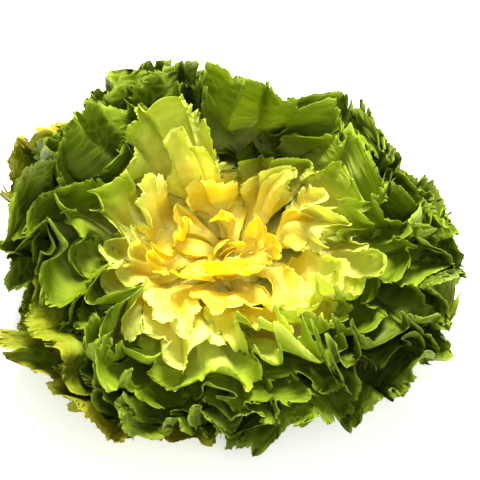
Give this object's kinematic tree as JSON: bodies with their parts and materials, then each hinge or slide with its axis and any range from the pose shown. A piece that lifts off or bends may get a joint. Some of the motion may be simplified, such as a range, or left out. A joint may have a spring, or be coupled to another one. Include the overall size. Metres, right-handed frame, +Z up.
{
  "type": "escarole head",
  "caption": "Head of escarole cut at the stem: ruffled green outer leaves open round a blanched yellow heart, resting on its cut face.",
  "frame": {"origin": "middle of the flat cut face of the stem, on the surface that the head rests on", "axes": "+Z up along the stem, out of the heart; -Y the front, towards which the heart leans; +X to the right seen from the front"},
  "size_m": [0.2935, 0.2906, 0.1543],
  "materials": {
    "stump": "matt, cut and a little browned",
    "heart_leaf": "waxy, blanched yellow",
    "inner_leaf": "waxy, yellow-green with a pale rib",
    "outer_leaf": "satin, deep green with pale veins"
  },
  "bodies": {
    "root": {"stem_stump": "stump", "heart_leaf_01": "heart_leaf", "heart_leaf_02": "heart_leaf", "heart_leaf_03": "heart_leaf", "heart_leaf_04": "heart_leaf", "heart_leaf_05": "heart_leaf", "heart_leaf_06": "heart_leaf", "heart_leaf_07": "heart_leaf", "heart_leaf_08": "heart_leaf", "heart_leaf_09": "heart_leaf", "heart_leaf_10": "heart_leaf", "heart_leaf_11": "heart_leaf", "heart_leaf_12": "heart_leaf", "heart_leaf_13": "heart_leaf", "heart_leaf_14": "heart_leaf", "heart_leaf_15": "heart_leaf", "heart_leaf_16": "heart_leaf", "inner_leaf_01": "inner_leaf", "inner_leaf_02": "inner_leaf", "inner_leaf_03": "inner_leaf", "inner_leaf_04": "inner_leaf", "inner_leaf_05": "inner_leaf", "inner_leaf_06": "inner_leaf", "inner_leaf_07": "inner_leaf", "inner_leaf_08": "inner_leaf", "inner_leaf_09": "inner_leaf", "inner_leaf_10": "inner_leaf", "inner_leaf_11": "inner_leaf", "inner_leaf_12": "inner_leaf", "inner_leaf_13": "inner_leaf", "inner_leaf_14": "inner_leaf", "outer_leaf_01": "outer_leaf", "outer_leaf_02": "outer_leaf", "outer_leaf_03": "outer_leaf", "outer_leaf_04": "outer_leaf", "outer_leaf_05": "outer_leaf", "outer_leaf_06": "outer_leaf", "outer_leaf_07": "outer_leaf", "outer_leaf_08": "outer_leaf", "outer_leaf_09": "outer_leaf", "outer_leaf_10": "outer_leaf", "outer_leaf_11": "outer_leaf", "outer_leaf_12": "outer_leaf", "outer_leaf_13": "outer_leaf", "outer_leaf_14": "outer_leaf", "outer_leaf_15": "outer_leaf", "outer_leaf_16": "outer_leaf", "outer_leaf_17": "outer_leaf", "outer_leaf_18": "outer_leaf", "outer_leaf_19": "outer_leaf", "outer_leaf_20": "outer_leaf", "outer_leaf_21": "outer_leaf", "outer_leaf_22": "outer_leaf", "outer_leaf_23": "outer_leaf", "outer_leaf_24": "outer_leaf", "outer_leaf_25": "outer_leaf", "outer_leaf_26": "outer_leaf", "outer_leaf_27": "outer_leaf", "outer_leaf_28": "outer_leaf"}
  },
  "joints": []
}
